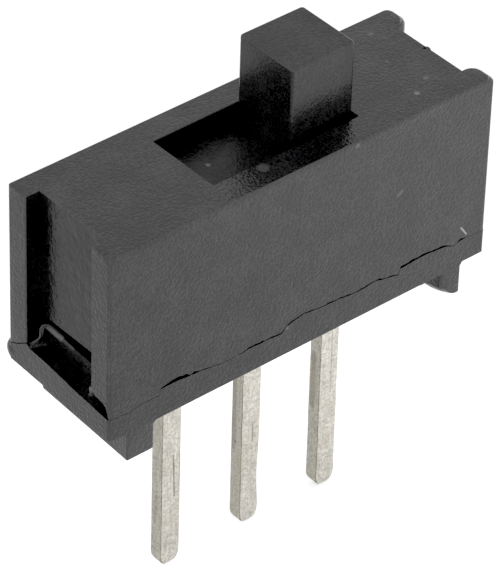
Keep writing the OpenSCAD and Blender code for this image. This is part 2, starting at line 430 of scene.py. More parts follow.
def seam_cutter(keep_above):
    """A ring round the walls that cuts the housing off below the seam, or the base off above it."""
    out = (HALF_LEN + OVER) / HALF_LEN, (HALF_WID + OVER) / HALF_WID
    within = (INNER_LEN / 2 - CUTTER_WITHIN) / HALF_LEN, (INNER_WID / 2 - CUTTER_WITHIN) / HALF_WID
    far = SEAM_Z - CUTTER_BELOW if keep_above else SEAM_Z + CUTTER_ABOVE
    rings = []
    for x, y, height, gap in seam_stations():
        edge = height + gap if keep_above else height
        worn = worn_back(x, y) if keep_above else UNWORN
        back = 1 - worn / HALF_LEN, 1 - worn / HALF_WID
        rings.append([(x * out[0], y * out[1], far), (x * out[0], y * out[1], edge + worn),
                      (x * back[0], y * back[1], edge + worn), (x * back[0], y * back[1], edge),
                      (x * within[0], y * within[1], edge), (x * within[0], y * within[1], far)])
    return skin(rings, loop=True)


# ---- The pieces ----
# The rounding of the housing's upright corners, of the left channel's edges and of the top's rim.
CORNER = 0.06
CHANNEL_EDGE = 0.035
RIM = 0.03
# The right end stands a little past the frame's housing, as the photo shows.
RIGHT_END = HALF_LEN + 0.075
# Corner radii of the right end's two noses, below and at the top: near outer, near inner, far inner,
# far outer. They are the top's once the end has drawn in by NOSE_SHARE of its rounding.
NOSES_LOW = (0.08, 0.12, 0.24, 0.1)
NOSES_TOP = (0.16, 0.26, 0.28, 0.15)
NOSE_SHARE = 0.5
# The right end's rounding stops short of the level, after this turn.
END_TURN = math.radians(70)
END_STEPS = 6


def channel_outline(right_end, noses):
    """The housing from above: a rectangle with a channel in each end. The right end is worn rounder."""
    deep = HALF_LEN - CHANNEL_DEPTH
    side = CHANNEL_WID / 2
    right = [(right_end, -HALF_WID, noses[0]), (right_end, -side, noses[1]), (deep, -side, 0),
             (deep, side, 0), (right_end, side, noses[2]), (right_end, HALF_WID, noses[3])]
    left = [(-HALF_LEN, HALF_WID, CORNER), (-HALF_LEN, side, CHANNEL_EDGE), (-deep, side, 0),
            (-deep, -side, 0), (-HALF_LEN, -side, CHANNEL_EDGE), (-HALF_LEN, -HALF_WID, CORNER)]
    return rounded(right + left)


def cover():
    """The outside of the housing, whose right end draws in towards the top."""
    below_seam = 0.4
    levels = [(SEAM_Z - below_seam, 0, 0)]
    for step in range(END_STEPS + 1):
        turn = END_TURN * step / END_STEPS
        height = TOP_Z - RIM - END_ROUND * (math.sin(END_TURN) - math.sin(turn))
        levels.append((height, 0, END_ROUND * (1 - math.cos(turn))))
    drawn_in = levels[-1][2]
    for height, amount in eased(TOP_Z - 2 * RIM, TOP_Z, 0, RIM)[2:]:
        levels.append((height, amount, drawn_in + amount))
    rings = []
    for height, amount, back in levels:
        share = min(1, back / END_ROUND / NOSE_SHARE)
        noses = [low + (top - low) * share for low, top in zip(NOSES_LOW, NOSES_TOP)]
        outline = inset(channel_outline(RIGHT_END - back, noses), amount)
        rings.append([(point.x, point.y, height) for point in outline])
    return skin(rings)


# The rounding of the housing's inner corners, the worn lip round the slot, and the nick and the burr
# between the right end's noses: (depth behind the channel's back, place across, height over the top)
# and the reach along each axis.
INNER_ROUND = 0.04
LIP = 0.025
NICK = (0.08, 0.04, 0.0), (0.055, 0.04, 0.13)
BURR = (0.0, 0.0, -0.025), (0.035, 0.09, 0.035)


def slot_cutter():
    """What the lever's slot takes out of the top, with a worn lip at the top's surface."""
    outline = rectangle(SLOT_LEFT, SLOT_RIGHT, -SLOT_WID / 2, SLOT_WID / 2, SOFT_EDGE)
    above, far_above = 0.01, 0.4
    return prism(outline, [(CEILING_Z - OVER, 0), (TOP_Z - LIP, 0), (TOP_Z - LIP / 3, -LIP / 3),
                           (TOP_Z + above, -LIP), (TOP_Z + far_above, -LIP)])


def top_lump(shape, seed, uneven):
    """A lump at the top of the right channel's back, from NICK or BURR."""
    (depth, across, height), reach = shape
    return lump((HALF_LEN - CHANNEL_DEPTH - depth, across, TOP_Z + height), reach, seed, uneven)


def housing():
    """The cover, hollowed from below, with its slot and windows and cut off along the seam."""
    shell = cover()
    cavity = box((-INNER_LEN / 2, -INNER_WID / 2, 0), (INNER_LEN / 2, INNER_WID / 2, CEILING_Z), INNER_ROUND)
    side = CHANNEL_WID / 2
    window = prism(rectangle(-side, side, WINDOW_Z, WINDOW_Z + WINDOW_HGT, INNER_ROUND),
                   [(-HALF_LEN - OVER, 0), (HALF_LEN + OVER, 0)], "X")
    # The sill under the left window stands back, so that the base's tongue can come down in front of it.
    clear = side - 0.015
    set_back = box((-HALF_LEN - 0.2, -clear, 0), (TONGUE_BACK - 0.01, clear, WINDOW_Z + 0.1))
    slot, nick = slot_cutter(), top_lump(NICK, 3.0, 0.5)
    add(shell, top_lump(BURR, 6.0, 0.3))
    cut(shell, cavity, slot, window, set_back, nick, seam_cutter(True))
    return shell


# How far the feet reach up into the plate, how far the left one ends short of the far side, and the
# radius and run of its fillet. Its outer side leans: it starts ASKEW further out at the near end and
# comes in by ASKEW_IN along the foot.
FOOT_ROOT = 0.2
FOOT_SHORT = 0.3
FILLET = 0.12
FILLET_RUN = 0.4
ASKEW = 0.05
ASKEW_IN = 0.13


def left_foot():
    """The left foot bar, with a fillet to the plate. It is a little askew and ends short of the back."""
    low, high = LEFT_FOOT
    top = FOOT_HGT + FOOT_ROOT
    section = [(low, 0, 0.05), (high, 0, 0.06), (high, FOOT_HGT, FILLET), (high + FILLET_RUN, FOOT_HGT, 0),
               (high + FILLET_RUN, top, 0), (low, top, 0)]
    end = HALF_WID - FOOT_SHORT
    bar = prism(rounded(section), eased(-HALF_WID, end, SOFT_EDGE, 0.12), "Y")
    for vertex in bar.data.vertices:
        if vertex.co.x < (low + high) / 2:
            vertex.co.x += -ASKEW + ASKEW_IN * (vertex.co.y + HALF_WID) / (end + HALF_WID)
    return bar


# The worn corner of the right foot: how far it reaches along the foot and up it, and the reach of the
# ellipsoid that it follows.
WORN_LEN = 0.75
WORN_HGT = 0.36
WORN_ROUND = (0.647, 1.08, 0.5)


def right_foot():
    """The right foot bar, whose near inner corner is worn round below."""
    low, high = RIGHT_FOOT
    outline = rounded([(low, -HALF_WID, 0.13), (high, -HALF_WID, 0.04),
                       (high, HALF_WID, 0.04), (low, HALF_WID, 0.08)])
    bar = prism(outline, eased(0, FOOT_HGT + FOOT_ROOT, SOFT_EDGE, 0))
    middle = (high + 0.01, -HALF_WID + WORN_LEN, WORN_HGT)
    worn = box((low - 0.1, -HALF_WID - 0.1, -0.1), middle)
    cut(worn, lump(middle, WORN_ROUND))
    return cut(bar, worn)


def end_cutter(end, edge, near_z, far_z, reach, flat):
    """The raised underside of one end of the plate: how far it reaches in, and how much of that is flat."""
    rings = []
    low, slope = 0.3, 0.4
    for y, z in ((-HALF_WID - OVER, near_z), (HALF_WID + OVER, far_z)):
        ring = [(edge + OVER, low), (edge - reach, low), (edge - reach, FOOT_HGT), (edge - flat, z),
                (edge, z), (edge + OVER, z + slope)]
        rings.append([(end * u, y, v) for u, v in ring])
    return skin(rings)


# The underside of both latches, and how often their ragged edges waver.
LATCH_UNDER = WINDOW_Z + FIT_GAP
LATCH_PACE = 8
# The tongue's front, back and root along X, and its upper front edge, the land: (place across, height).
TONGUE_FRONT = -HALF_LEN + CHANNEL_DEPTH + 0.01
TONGUE_BACK = TONGUE_FRONT + 0.12
TONGUE_ROOT = -TRAY_LEN / 2 + 0.1
TONGUE_LAND = [
    (-1.18, 2.17), (-0.90, 2.19), (-0.51, 2.21), (0.01, 2.24), (0.46, 2.30), (0.85, 2.33),
    (1.00, 2.32), (1.09, 2.26), (1.15, 2.16), (1.18, 2.02), (1.19, 1.90),
]
# The step from one section to the next, the reach down into the plate, the bevel at the land, its rise
# towards the tray, and how far it wavers.
TONGUE_STEP = 0.06
TONGUE_DOWN = 0.15
LAND_BEVEL = 0.05
LAND_RISE = 0.03
RAGGED = 0.02


def tongue():
    """The latch in the left window, whose front comes down to the plate. Its land is ragged and slants."""
    rings = []
    foot = SEAM_Z - TONGUE_DOWN
    for (y, land), (next_y, next_land) in zip(TONGUE_LAND, TONGUE_LAND[1:] + TONGUE_LAND[-1:]):
        count = max(1, round((next_y - y) / TONGUE_STEP))
        for share in (step / count for step in range(count)):
            here = y + (next_y - y) * share
            edge = land + (next_land - land) * share
            edge += RAGGED * noise.noise(Vector((here * LATCH_PACE, 0, 0)))
            under = min(LATCH_UNDER, edge - LAND_BEVEL)
            section = [(TONGUE_ROOT, under), (TONGUE_BACK, under), (TONGUE_BACK, foot), (TONGUE_FRONT, foot),
                       (TONGUE_FRONT, edge - LAND_BEVEL), (TONGUE_FRONT + LAND_BEVEL, edge),
                       (TONGUE_ROOT, edge + LAND_RISE)]
            rings.append([(x, here, z) for x, z in section])
    return skin(rings)


# The right latch: its depth from the tray, half its width, and the heights of its land and its top.
LATCH_DEPTH = 0.38
LATCH_HALF = 0.95
LATCH_LAND = 2.28
LATCH_TOP = 2.45
LATCH_BEVEL = 0.15
LATCH_ROOT = 0.1
LATCH_STEPS = 24
LATCH_RAGGED = 0.015


def right_latch():
    """The latch in the right window, whose upper edges are ragged."""
    root = TRAY_LEN / 2 - LATCH_ROOT
    reach = TRAY_LEN / 2 + LATCH_DEPTH
    section = [(root, LATCH_UNDER), (reach, LATCH_UNDER), (reach, LATCH_LAND),
               (reach - LATCH_BEVEL, LATCH_TOP), (root, LATCH_TOP)]
    rings = []
    for step in range(LATCH_STEPS + 1):
        y = -LATCH_HALF + 2 * LATCH_HALF * step / LATCH_STEPS
        ring = []
        for x, z in section:
            ragged = LATCH_RAGGED * noise.noise(Vector((y * LATCH_PACE, 4, x))) if z > LATCH_UNDER else 0
            ring.append((x, y, z + ragged))
        rings.append(ring)
    return skin(rings)


# The middle line of the curl of flash, from the tongue's far end down to the plate.
FLASH_CURL = [
    (-5.39, 1.00, 2.33), (-5.40, 1.10, 2.26), (-5.41, 1.16, 2.14), (-5.42, 1.17, 2.02),
    (-5.42, 1.16, 1.92), (-5.48, 1.15, 1.87), (-5.56, 1.16, 1.84), (-5.66, 1.17, 1.82),
]
CURL_RADIUS = 0.032
CURL_UNEVEN = 0.012
CURL_PACE = 9
CURL_SIDES = 10


def flash_curl():
    """The thread of flash that hangs from the far end of the tongue to the plate."""
    rings = []
    for i, centre in enumerate(FLASH_CURL):
        centre = Vector(centre)
        back = Vector(FLASH_CURL[max(i - 1, 0)])
        ahead = Vector(FLASH_CURL[min(i + 1, len(FLASH_CURL) - 1)])
        turn = (ahead - back).to_track_quat("Z", "X")
        radius = CURL_RADIUS + CURL_UNEVEN * noise.noise(centre * CURL_PACE)
        ring = []
        for step in range(CURL_SIDES):
            angle = 2 * math.pi * step / CURL_SIDES
            ring.append(centre + turn @ Vector((radius * math.cos(angle), radius * math.sin(angle), 0)))
        rings.append(ring)
    return skin(rings)


# The raised underside of the plate's ends: height at the near and the far side, reach and flat part.
LEFT_RAISED = (0.87, 1.08, 0.3, 0.01)
RIGHT_RAISED = (0.9, 0.9, 0.75, 0.68)
# The plate is made as high as PLATE_CUT and cut off along the seam. Its middle is cut out from SEAM_Z up
# to CORE_TOP, to CORE_IN short of the housing's walls.
PLATE_CUT = 2.4
CORE_TOP = 3.5
CORE_IN = 0.05
# How far the tray reaches into the plate, how far under the tray's floor a pin's slot ends, and how far
# the slider's lever, runners and ribs reach into its carriage.
TRAY_ROOT = 0.2
SLOT_ROOT = 0.2
SLIDER_ROOT = 0.1
# Middle and reach of the bead of flash at the left end's far corner, and of the sliver near the window.
BEAD = (-HALF_LEN + 0.15, HALF_WID - 0.05, 1.27), (0.17, 0.26, 0.31)
SLIVER = (-5.57, -0.92, 1.72), (0.035, 0.045, 0.15)


def tray():
    """The tray that stands on the plate inside the housing."""
    half_len, half_wid = TRAY_LEN / 2, TRAY_WID / 2
    made = box((-half_len, -half_wid, SEAM_Z - TRAY_ROOT), (half_len, half_wid, TRAY_TOP), SOFT_EDGE)
    hollow = box((-half_len + TRAY_END, -half_wid + TRAY_WALL, TRAY_FLOOR),
                 (half_len - TRAY_END, half_wid - TRAY_WALL, TRAY_TOP + 1))
    return cut(made, hollow)


def terminal_slot(node):
    """Room in the base for one terminal: for its pin below, and for its blade above."""
    low, high = mm_box(node)
    middle = (low.x + high.x) / 2
    side = PIN_THK / 2 + FIT_GAP
    pin_side = PIN_WID / 2 + FIT_GAP
    blade_side = (high.x - low.x) / 2 + FIT_GAP
    pin = box((middle - pin_side, -side, FOOT_HGT - OVER), (middle + pin_side, side, TRAY_FLOOR - SLOT_ROOT))
    blade = box((middle - blade_side, -side, BLADE_FOOT), (middle + blade_side, side, TRAY_TOP))
    return pin, blade


def base():
    """The plate with its tray, latches, feet and flash, and with slots for the terminals."""
    plate = prism(rectangle(-HALF_LEN, RIGHT_END, -HALF_WID, HALF_WID, CORNER),
                  eased(FOOT_HGT, PLATE_CUT, SOFT_EDGE, 0))
    core = INNER_LEN / 2 - CORE_IN, INNER_WID / 2 - CORE_IN
    trim = box((-core[0], -core[1], SEAM_Z), (core[0], core[1], CORE_TOP))
    cut(plate, seam_cutter(False), trim, end_cutter(-1, HALF_LEN, *LEFT_RAISED),
        end_cutter(1, RIGHT_END, *RIGHT_RAISED))
    bead = lump(*BEAD, 1.0, 0.05)
    sliver = lump(*SLIVER, 5.0, 0.3)
    add(plate, tray(), tongue(), right_latch(), flash_curl(), sliver, left_foot(), right_foot(), bead)
    for node in ("left_terminal", "centre_terminal", "right_terminal"):
        cut(plate, *terminal_slot(node))
    return plate


def slider():
    """The carriage with its lever, and below it two runners and two ribs."""
    carriage = box((SLIDER_X - CARRIAGE_LEN / 2, -CARRIAGE_WID / 2, CARRIAGE_Z),
                   (SLIDER_X + CARRIAGE_LEN / 2, CARRIAGE_WID / 2, CARRIAGE_Z + CARRIAGE_THK), SOFT_EDGE)
    outline = rectangle(LEVER_X - LEVER_LEN / 2, LEVER_X + LEVER_LEN / 2,
                        -LEVER_WID / 2, LEVER_WID / 2, LEVER_CORNER)
    levels = []
    root = CARRIAGE_Z + SLIDER_ROOT
    for height, amount in eased(root, LEVER_TOP, 0, LEVER_RIM):
        levels.append((height, amount + LEVER_DRAFT * (height - CARRIAGE_Z) / (LEVER_TOP - CARRIAGE_Z)))
    parts = [prism(outline, levels)]
    for side in (-1, 1):
        edges = sorted((side * CARRIAGE_WID / 2, side * (CARRIAGE_WID / 2 - RUNNER_THK)))
        parts.append(box((SLIDER_X - RUNNER_LEN / 2, edges[0], SLIDER_LOW.z),
                         (SLIDER_X + RUNNER_LEN / 2, edges[1], root), SOFT_EDGE))
        middle = SLIDER_X + side * RIB_X
        parts.append(box((middle - RIB_THK / 2, -CARRIAGE_WID / 2 + RIB_SHORT, CARRIAGE_Z - RIB_HGT),
                         (middle + RIB_THK / 2, CARRIAGE_WID / 2 - RIB_SHORT, root), SOFT_EDGE))
    return add(carriage, *parts)


def tip_round(above, across, along):
    """How far one side of a rounded tip has drawn in, at a height above its lowest point."""
    if above >= along:
        return 0.0
    return across * (1 - math.sqrt(1 - (1 - above / along) ** 2))


# Heights of the rings above a pin's lowest point: close together in the tip, then in PIN_STEPS even
# steps, up to PIN_ROOT inside the blade.
TIP_HEIGHTS = [0.0, 0.008, 0.02, 0.04, 0.07, 0.11, 0.16, 0.23, 0.32, 0.42]
TIP_TOP = TIP_HEIGHTS[-1]
PIN_STEPS = 24
PIN_ROOT = 0.2
# How far each side of the tip draws in, and over what height.
TIP_LEFT, TIP_RIGHT = (0.27, 0.30), (0.28, 0.38)
TIP_NEAR, TIP_FAR = (0.10, 0.16), (0.22, 0.32)
# The radii of the pins' upright edges. The near left one grows by TIP_BLUNT over the last BLUNT_HGT.
NEAR_LEFT, NEAR_RIGHT, FAR_RIGHT, FAR_LEFT = 0.015, 0.07, 0.04, 0.03
TIP_BLUNT = 0.05
BLUNT_HGT = 0.3
# The narrow place in the centre pin's right side: its height, and how far it spreads.
WAIST_Z = -4.3
WAIST_SPREAD = 0.7
# How far the pins' sides waver, and how often.
PIN_UNEVEN = 0.006
PIN_PACE = 1.7
BLADE_EDGE = 0.04


def terminal(node, lean, longer, waist):
    """A stamped terminal: a pin with a rounded tip, and the wide contact blade above it.

    The pin leans to the right by lean, is longer than the frame's by longer, and is narrower by waist
    at one place.
    """
    low, high = mm_box(node)
    middle = (low.x + high.x) / 2
    bottom = low.z - longer
    heights = [bottom + above for above in TIP_HEIGHTS]
    shaft = BLADE_FOOT + PIN_ROOT - bottom - TIP_TOP
    heights += [bottom + TIP_TOP + shaft * step / PIN_STEPS for step in range(1, PIN_STEPS + 1)]
    rings = []
    for z in heights:
        above = z - bottom
        sway = lean * (z / bottom) ** 2 if z < 0 else 0
        narrow = waist * math.exp(-((z - WAIST_Z) / WAIST_SPREAD) ** 2)
        uneven = PIN_UNEVEN * noise.noise(Vector((middle, z * PIN_PACE, 0)))
        left = -PIN_WID / 2 + tip_round(above, *TIP_LEFT) - uneven
        right = PIN_WID / 2 - tip_round(above, *TIP_RIGHT) + uneven - narrow
        near = -PIN_THK / 2 + tip_round(above, *TIP_NEAR)
        far = PIN_THK / 2 - tip_round(above, *TIP_FAR)
        blunt = NEAR_LEFT + TIP_BLUNT * max(0, 1 - above / BLUNT_HGT)
        corners = [(left, near, blunt), (right, near, NEAR_RIGHT),
                   (right, far, FAR_RIGHT), (left, far, FAR_LEFT)]
        limit = 0.4 * min(right - left, far - near)
        outline = rounded([(u, v, min(radius, limit)) for u, v, radius in corners])
        rings.append([(middle + sway + point.x, point.y, z) for point in outline])
    blade = box((low.x, -PIN_THK / 2, BLADE_FOOT), (high.x, PIN_THK / 2, high.z), BLADE_EDGE)
    return add(skin(rings), blade)


# ---- Materials ----
class Shader:
    """A short way to write a node tree."""

    def __init__(self, name):
        """A new material with an empty node tree."""
        self.material = bpy.data.materials.new(name)
        self.material.use_nodes = True
        self.tree = self.material.node_tree
        self.tree.nodes.clear()

    def node(self, kind, inputs=None, output=0, **settings):
        """Add a node, set or link its inputs, and return one of its outputs."""
        made = self.tree.nodes.new(kind)
        for key, value in settings.items():
            setattr(made, key, value)
        for key, value in (inputs or {}).items():
            if isinstance(value, bpy.types.NodeSocket):
                self.tree.links.new(value, made.inputs[key])
            else:
                made.inputs[key].default_value = value
        return made.outputs[output]

    def millimetres(self):
        """Places on the object, in millimetres."""
        places = self.node("ShaderNodeTexCoord", output="Object")
        return self.node("ShaderNodeVectorMath", {0: places, "Scale": 1 / MM}, operation="SCALE")

    def noise(self, places, scale, detail=2.0, roughness=0.5):
        """Noise over the places, about 0.5, whose grains are about 1 / scale wide."""
        inputs = {"Vector": places, "Scale": scale, "Detail": detail, "Roughness": roughness}
        return self.node("ShaderNodeTexNoise", inputs)

    def spread(self, value, low, high, out_low, out_high):
        """value carried from the range low to high into out_low to out_high, and held there."""
        inputs = {"Value": value, "From Min": low, "From Max": high, "To Min": out_low, "To Max": out_high}
        return self.node("ShaderNodeMapRange", inputs)

    def sum(self, a, b, operation="ADD"):
        """The sum of a and b, or what another operation makes of them."""
        return self.node("ShaderNodeMath", {0: a, 1: b}, operation=operation)

    def bump(self, height, distance, strength=1.0, normal=None):
        """The normal after a relief of this height, whose depth is distance in millimetres."""
        inputs = {"Height": height, "Distance": distance * MM, "Strength": strength}
        if normal is not None:
            inputs["Normal"] = normal
        return self.node("ShaderNodeBump", inputs)

    def mix(self, share, a, b):
        """The colour a, with a share of the colour b."""
        made = self.tree.nodes.new("ShaderNodeMix")
        made.data_type = "RGBA"
        # The mix node's sockets for colours: 0 is the factor, 6 and 7 are A and B, and 2 is the result.
        for index, value in ((0, share), (6, a), (7, b)):
            if isinstance(value, bpy.types.NodeSocket):
                self.tree.links.new(value, made.inputs[index])
            else:
                made.inputs[index].default_value = value
        return made.outputs[2]

    def near_line(self, places, start, end, radius):
        """1 on the straight line between two points, falling to 0 at radius."""
        start, end = Vector(start), Vector(end)
        run = end - start
        away = self.node("ShaderNodeVectorMath", {0: places, 1: start}, operation="SUBTRACT")
        if run.length > 0:
            along = self.node("ShaderNodeVectorMath", {0: away, 1: run / run.length_squared},
                              output="Value", operation="DOT_PRODUCT")
            held = self.node("ShaderNodeClamp", {"Value": along})
            point = self.node("ShaderNodeVectorMath", {0: run, "Scale": held}, operation="SCALE")
            away = self.node("ShaderNodeVectorMath", {0: away, 1: point}, operation="SUBTRACT")
        distance = self.node("ShaderNodeVectorMath", {0: away}, output="Value", operation="LENGTH")
        return self.spread(distance, radius * 0.5, radius, 1, 0)

    def mark(self, places, start, end, radius, strength):
        """A line or speck of this strength, or less towards its outside."""
        return self.sum(self.near_line(places, start, end, radius), strength, "MULTIPLY")

    def finish(self, **inputs):
        """The material, from the inputs of its principled shader. Spaces in their names are written _."""
        named = {key.replace("_", " "): value for key, value in inputs.items()}
        shader = self.node("ShaderNodeBsdfPrincipled", named)
        surface = self.tree.nodes.new("ShaderNodeOutputMaterial")
        self.tree.links.new(shader, surface.inputs["Surface"])
        return self.material


# The range that a noise mostly keeps to.
NOISE_RANGE = (0.3, 0.7)
DARKEST = 0.001
PALE_MARK_AND_HIGHLIGHT_GREY = (0.42, 0.42, 0.43, 1)
# Pale specks and scratches on the mouldings, and on the base painted highlights: (start, end, radius,
# strength), in millimetres.
HOUSING_MARKS = [
    ((2.93, -1.85, 3.92), (3.05, -1.85, 3.98), 0.07, 0.10),
    ((-0.84, -1.28, 6.1), (-0.84, -1.28, 6.1), 0.2, 0.10),
    ((4.70, 1.27, 6.1), (4.70, 1.27, 6.1), 0.09, 0.10),
    ((4.86, 0.96, 6.1), (4.86, 0.96, 6.1), 0.06, 0.06),
    ((4.24, 0.17, 6.1), (4.24, 0.17, 6.1), 0.05, 0.10),
    ((4.52, -0.90, 6.1), (4.52, -0.90, 6.1), 0.09, 0.10),
    ((3.93, -1.24, 6.1), (3.93, -1.24, 6.1), 0.09, 0.22),
    ((1.56, -1.85, 5.98), (1.56, -1.85, 5.98), 0.08, 0.15),
    ((5.08, -1.85, 1.97), (5.27, -1.85, 1.70), 0.028, 0.6),
]
BASE_MARKS_AND_HIGHLIGHTS = [
    ((-1.95, -1.85, 1.53), (-1.95, -1.85, 1.53), 0.07, 0.15),
    ((-0.42, -1.85, 1.58), (-0.42, -1.85, 1.58), 0.07, 0.15),
    # Painted highlights along the tongue's land and down the curl of flash, then a painted glint on the
    # sliver.
    ((-5.37, 1.00, 2.32), (-5.37, 0.45, 2.28), 0.10, 0.28),
    ((-5.37, 0.45, 2.28), (-5.37, 0.00, 2.24), 0.05, 0.12),
    ((-5.41, 1.10, 2.26), (-5.43, 1.17, 1.95), 0.08, 0.28),
    ((-5.45, 1.16, 1.90), (-5.66, 1.17, 1.82), 0.08, 0.25),
    ((-5.57, -0.92, 1.60), (-5.57, -0.92, 1.75), 0.08, 0.4),
]
SLIDER_MARKS = [
    ((-1.26, 0.17, 5.54), (-1.26, 0.17, 5.54), 0.08, 0.2),
]


def shade(tint, more):
    """The tint made lighter by more, or darker where it is negative. It is never quite black."""
    return tuple(max(DARKEST, part + more) for part in tint) + (1,)


def black_plastic(name, tint, specular, marks=(), waves=0.0, relief=1.0, matte=0.0):
    """Satin black moulding: a fine spark-eroded grain, faint flow clouds, dull specks and pale marks, some of
    them painted highlights.

    waves is the depth of a slow unevenness of the surface, relief scales the depth of the grain, and
    matte is added to the roughness.
    """
    shader = Shader(name)
    places = shader.millimetres()
    grain = shader.noise(places, 22, 1, 0.6)
    pebble = shader.noise(places, 12, 1, 0.6)
    cloud = shader.noise(places, 1.1, 3, 0.55)
    dust = shader.noise(places, 9, 1)
    both = shader.sum(shader.spread(grain, *NOISE_RANGE, 0, 0.5), shader.spread(pebble, *NOISE_RANGE, 0, 0.5))
    colour = shader.mix(shader.spread(both, *NOISE_RANGE, 0, 1), shade(tint, -0.009), shade(tint, 0.009))
    colour = shader.mix(shader.spread(cloud, 0.45, 0.7, 0, 0.8), colour, shade(tint, -0.008))
    colour = shader.mix(shader.spread(cloud, 0.45, 0.25, 0, 0.7), colour, shade(tint, 0.012))
    colour = shader.mix(shader.spread(dust, 0.72, 0.80, 0, 0.5), colour, shade(tint, 0.03))
    marks_and_highlights = None
    for mark in marks:
        near = shader.mark(places, *mark)
        marks_and_highlights = near if marks_and_highlights is None else shader.sum(marks_and_highlights, near, "MAXIMUM")
    if marks_and_highlights is not None:
        # Pale marks, some of them painted highlights.
        colour = shader.mix(marks_and_highlights, colour, PALE_MARK_AND_HIGHLIGHT_GREY)
    roughness = shader.sum(shader.spread(cloud, *NOISE_RANGE, 0.14 + matte, 0.18 + matte),
                           shader.spread(grain, *NOISE_RANGE, -0.04, 0.04))
    normal = shader.bump(cloud, 0.015, 0.6)
    if waves:
        normal = shader.bump(shader.noise(places, 2.6), waves, 1.0, normal)
    normal = shader.bump(pebble, 0.012 * relief, 1.0, normal)
    normal = shader.bump(grain, 0.006 * relief, 1.0, normal)
    return shader.finish(Base_Color=colour, Roughness=roughness, Normal=normal, Specular_IOR_Level=specular)


# Dark scratches and pits on the pins, and broad painted shade down their left faces: (start, end, radius,
# strength), in millimetres.
PIN_SCRATCHES_AND_SHADE = [
    ((-2.45, -0.2, -2.35), (-2.44, -0.2, -2.75), 0.03, 0.5),
    ((-2.44, -0.2, -2.6), (-2.41, -0.2, -3.65), 0.03, 0.6),
    ((-2.27, -0.2, -2.3), (-2.22, -0.2, -3.5), 0.03, 0.35),
    # Painted shade down the left pin's left face.
    ((-2.8, 0.0, -3.6), (-2.8, 0.06, -4.4), 0.09, 0.3),
    ((-0.3, 0.03, -3.18), (-0.3, 0.03, -3.18), 0.05, 0.8),
    # Painted shade down the centre pin's left face.
    ((-0.3, 0.1, -1.2), (-0.3, 0.1, -3.4), 0.10, 0.35),
    ((0.05, -0.2, -2.6), (0.06, -0.2, -3.2), 0.03, 0.5),
    # Painted shade down the right pin's left face.
    ((2.2, 0.05, -1.7), (2.2, 0.05, -3.3), 0.12, 0.4),
    ((2.55, -0.2, -0.9), (2.57, -0.2, -2.9), 0.025, 0.35),
]
SCRATCH_AND_SHADE_BROWN = (0.12, 0.095, 0.065, 1)
TARNISH = (0.38, 0.34, 0.25, 1)
PIT_BROWN = (0.25, 0.22, 0.17, 1)


def tinned(name, bright, roughness, streaks):
    """Dull tin plate with drawn streaks along the pin, pits, a warm tarnish and painted shade down the pins'
    left faces.

    streaks is how much darker the streaks are than the bright colour.
    """
    shader = Shader(name)
    places = shader.millimetres()
    drawn = shader.node("ShaderNodeVectorMath", {0: places, 1: (1, 1, 0.12)}, operation="MULTIPLY")
    streak = shader.noise(drawn, 14, 3, 0.6)
    cloud = shader.noise(places, 2.2, 3, 0.6)
    pit = shader.noise(places, 11, 1)
    speckle = shader.noise(places, 17, 1, 0.6)
    clean = tuple(bright) + (1,)
    dull = tuple((1 - streaks) * c for c in bright) + (1,)
    colour = shader.mix(shader.spread(streak, 0.35, 0.65, 0, 1), dull, clean)
    dark = tuple(0.4 * c for c in bright) + (1,)
    colour = shader.mix(shader.spread(speckle, 0.4, 0.75, 0, 0.7), colour, dark)
    # Scratches and pits, and painted shade on the pins' left faces.
    for mark in PIN_SCRATCHES_AND_SHADE:
        colour = shader.mix(shader.mark(places, *mark), colour, SCRATCH_AND_SHADE_BROWN)
    colour = shader.mix(shader.spread(cloud, 0.5, 0.75, 0, 0.45), colour, TARNISH)
    colour = shader.mix(shader.spread(pit, 0.68, 0.78, 0, 0.6), colour, PIT_BROWN)
    rough = shader.spread(streak, *NOISE_RANGE, roughness - 0.06, roughness + 0.08)
    normal = shader.bump(streak, 0.008, 0.6)
    normal = shader.bump(cloud, 0.02, 0.6, normal)
    normal = shader.bump(speckle, 0.012, 1.0, normal)
    return shader.finish(Base_Color=colour, Metallic=1.0, Roughness=rough, Normal=normal)


def bronze():
    """Rolled phosphor bronze of the contact clip."""
    shader = Shader("spring_bronze")
    places = shader.millimetres()
    rolled = shader.node("ShaderNodeVectorMath", {0: places, 1: (0.15, 1, 1)}, operation="MULTIPLY")
    streak = shader.noise(rolled, 12, 3, 0.6)
    cloud = shader.noise(places, 1.5, 2)
    colour = shader.mix(streak, (0.55, 0.34, 0.17, 1), (0.72, 0.48, 0.25, 1))
    colour = shader.mix(shader.spread(cloud, 0.5, 0.8, 0, 0.5), colour, (0.4, 0.24, 0.13, 1))
    normal = shader.bump(streak, 0.003, 0.5)
    rough = shader.spread(streak, *NOISE_RANGE, 0.25, 0.38)
    return shader.finish(Base_Color=colour, Metallic=1.0, Roughness=rough, Normal=normal)


def paper(name):
    """White paper of the floor. It glows around the object, and more to its front right."""
    shader = Shader(name)
    places = shader.millimetres()
    fibre = shader.noise(places, 2, 4)
    colour = shader.mix(fibre, (0.81, 0.81, 0.81, 1), (0.84, 0.84, 0.84, 1))
    away = shader.node("ShaderNodeVectorMath", {0: places}, output="Value", operation="LENGTH")
    across = shader.node("ShaderNodeVectorMath", {0: places, 1: (0.7, -0.7, 0)},
                         output="Value", operation="DOT_PRODUCT")
    glow = shader.sum(shader.spread(away, 8, 15, 0.38, 0.04), shader.spread(across, 4, 18, 0, 0.6))
    return shader.finish(Base_Color=colour, Roughness=0.9, Emission_Color=(0.96, 0.96, 1, 1),
                         Emission_Strength=glow)


# ---- The object ----
HOUSING_TINT = (0.010, 0.010, 0.0105)
BASE_TINT = (0.010, 0.010, 0.010)
SLIDER_TINT = (0.0091, 0.0091, 0.0097)
# The darker tint of faces in the channels and windows: a painted shade.
RECESS_SHADE_TINT = (0.0025, 0.0025, 0.0025)
